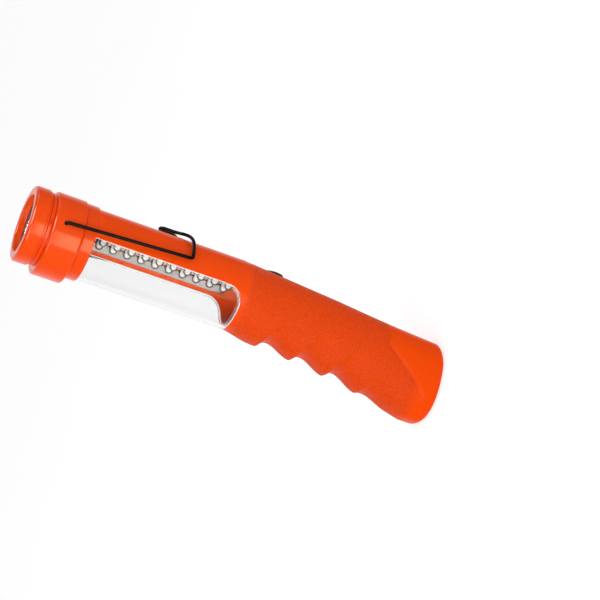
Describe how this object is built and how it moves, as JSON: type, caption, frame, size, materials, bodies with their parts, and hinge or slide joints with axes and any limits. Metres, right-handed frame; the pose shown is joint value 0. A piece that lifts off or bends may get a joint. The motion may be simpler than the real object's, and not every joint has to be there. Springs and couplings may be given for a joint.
{
  "type": "traffic baton light",
  "caption": "Hand-held traffic baton light: spot lamp in the nose, flood lamps behind a half-round clear lens, wire bail hook on a collar, contoured drooping grip.",
  "frame": {"origin": "point where the barrel axis meets the plane of the flat tail face", "axes": "+Z along the barrel from tail to nose, -Y toward the flood lens and finger side, +Y toward the thumb side, X across"},
  "size_m": [0.0538, 0.0639, 0.2614],
  "materials": {
    "shell_orange": "gloss orange moulding, leathery stipple on the grip",
    "head_orange": "gloss orange moulding",
    "clear_lens": "clear, glossy",
    "clear_silicone": "milky clear silicone",
    "black_rubber": "matt black",
    "tray_silver": "bright metallised",
    "circuit_board": "green solder mask",
    "board_parts": "black moulded packages",
    "lamp_resin": "water-clear resin",
    "spot_emitter": "clear dome over a yellow emitter",
    "spot_board_white": "white mask on aluminium",
    "sink_aluminium": "machined",
    "screw_steel": "plated steel",
    "hook_black": "gloss black coated wire",
    "button_black": "satin black",
    "tube_grey": "grey moulding",
    "cell_wrap": "plain blue shrink wrap",
    "contact_brass": "plated spring brass",
    "cap_black": "satin black"
  },
  "bodies": {
    "body": {"body_shell_right": "shell_orange", "body_shell_left": "shell_orange", "body_screws": "screw_steel", "flood_lens": "clear_lens", "flood_lens_gasket": "clear_silicone", "flood_reflector": "tray_silver", "flood_board": "circuit_board", "flood_leds": "lamp_resin", "head_core": "head_orange", "hook_collar": "head_orange", "collar_o_ring": "black_rubber", "collar_retaining_ring": "head_orange", "bezel": "head_orange", "bezel_o_ring": "black_rubber", "front_lens": "clear_lens", "front_lens_gasket": "black_rubber", "spot_reflector": "tray_silver", "spot_led": "spot_emitter", "spot_led_board": "spot_board_white", "spot_heat_sink": "sink_aluminium", "spot_board_screws": "screw_steel", "control_board": "circuit_board", "control_components": "board_parts", "switch_body": "board_parts", "switch_spring": "screw_steel", "battery_tube": "tube_grey", "battery_cell": "cell_wrap", "positive_contact": "contact_brass", "negative_strip": "contact_brass"},
    "hook": {"hook": "hook_black", "hook_clips": "screw_steel"},
    "button": {"switch_button": "button_black", "switch_plunger": "button_black", "switch_seal": "black_rubber"},
    "cap_slide": {"tail_cap_o_ring": "black_rubber"},
    "cap": {"tail_cap": "cap_black", "tail_spring": "screw_steel"}
  },
  "joints": [
    {"name": "hook_swing", "type": "hinge", "parent": "body", "child": "hook", "pos_m": [0, 0, 0.2424], "axis": [0.9986, 0.0523, 0], "range_deg": [0, 300]},
    {"name": "button_press", "type": "slide", "parent": "body", "child": "button", "axis": [0, -1, 0], "range_m": [0, 0.0012], "stiffness_N_per_m": 2500, "springref_m": -0.0004},
    {"name": "cap_travel", "type": "slide", "parent": "body", "child": "cap_slide", "axis": [0, -0.1045, -0.9945], "range_m": [0, 0.004]},
    {"name": "cap_turn", "type": "hinge", "parent": "cap_slide", "child": "cap", "pos_m": [0, -0.01317, 0.00219], "axis": [0, -0.1045, -0.9945], "range_deg": [0, 720]}
  ],
  "couplings": [
    {"joint": "cap_turn", "follows": "cap_travel", "rad_per_m": 3141.6}
  ]
}
